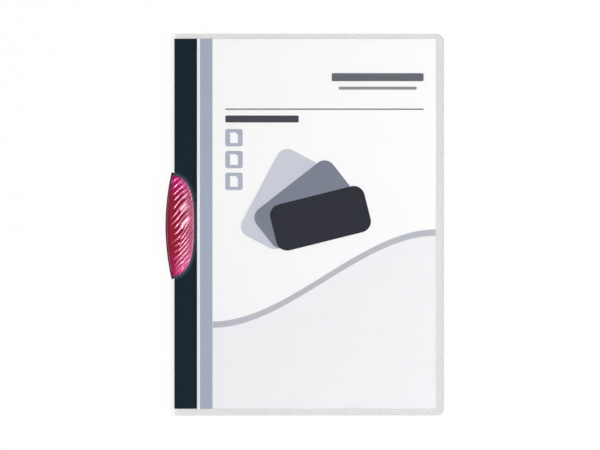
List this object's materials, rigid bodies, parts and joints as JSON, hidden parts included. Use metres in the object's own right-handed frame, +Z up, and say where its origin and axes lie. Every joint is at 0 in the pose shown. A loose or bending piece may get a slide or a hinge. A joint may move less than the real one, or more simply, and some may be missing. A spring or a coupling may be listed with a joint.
{
  "type": "clip folder",
  "caption": "Clear film report folder for A4 sheets, held shut by a turning magenta clip at the middle of the spine, with a printed insert sheet.",
  "frame": {"origin": "on the floor under the middle of the whole outline, the clip's outer edge included", "axes": "+X from the spine to the fore edge, +Y towards the top edge, +Z up out of the front cover"},
  "size_m": [0.2238, 0.3064, 0.0094],
  "materials": {
    "clear_film": "satin",
    "clip_plastic": "gloss",
    "paper": "matte",
    "ink_dark": "satin",
    "ink_blue_grey": "satin",
    "ink_rule": "satin",
    "ink_text": "satin",
    "ink_icon": "satin",
    "ink_field": "satin",
    "ink_band": "satin",
    "ink_card_pale": "satin",
    "ink_card_mid": "satin",
    "ink_card_dark": "satin"
  },
  "bodies": {
    "back": {"back_cover": "clear_film", "pivot_rivet": "clip_plastic", "insert_sheet": "paper", "print_stripe_dark": "ink_dark", "print_stripe_grey": "ink_blue_grey", "print_rule": "ink_rule", "print_title_bar": "ink_text", "print_header_bar": "ink_text", "print_header_line": "ink_rule", "print_icon_1": "ink_icon", "print_icon_2": "ink_icon", "print_icon_3": "ink_icon", "print_field": "ink_field", "print_band": "ink_band", "print_card_1": "ink_card_pale", "print_card_2": "ink_card_mid", "print_card_3": "ink_card_dark"},
    "front": {"front_cover": "clear_film"},
    "clip": {"spine_clip": "clip_plastic"}
  },
  "joints": [
    {"name": "clip_pivot", "type": "hinge", "parent": "back", "child": "clip", "pos_m": [-0.10085, 0.033, 0.001], "axis": [0, 0, -1], "range_deg": [0, 50]},
    {"name": "cover_hinge", "type": "hinge", "parent": "back", "child": "front", "pos_m": [-0.08535, 0, 0.0049], "axis": [0, -1, 0], "range_deg": [0, 150]}
  ]
}
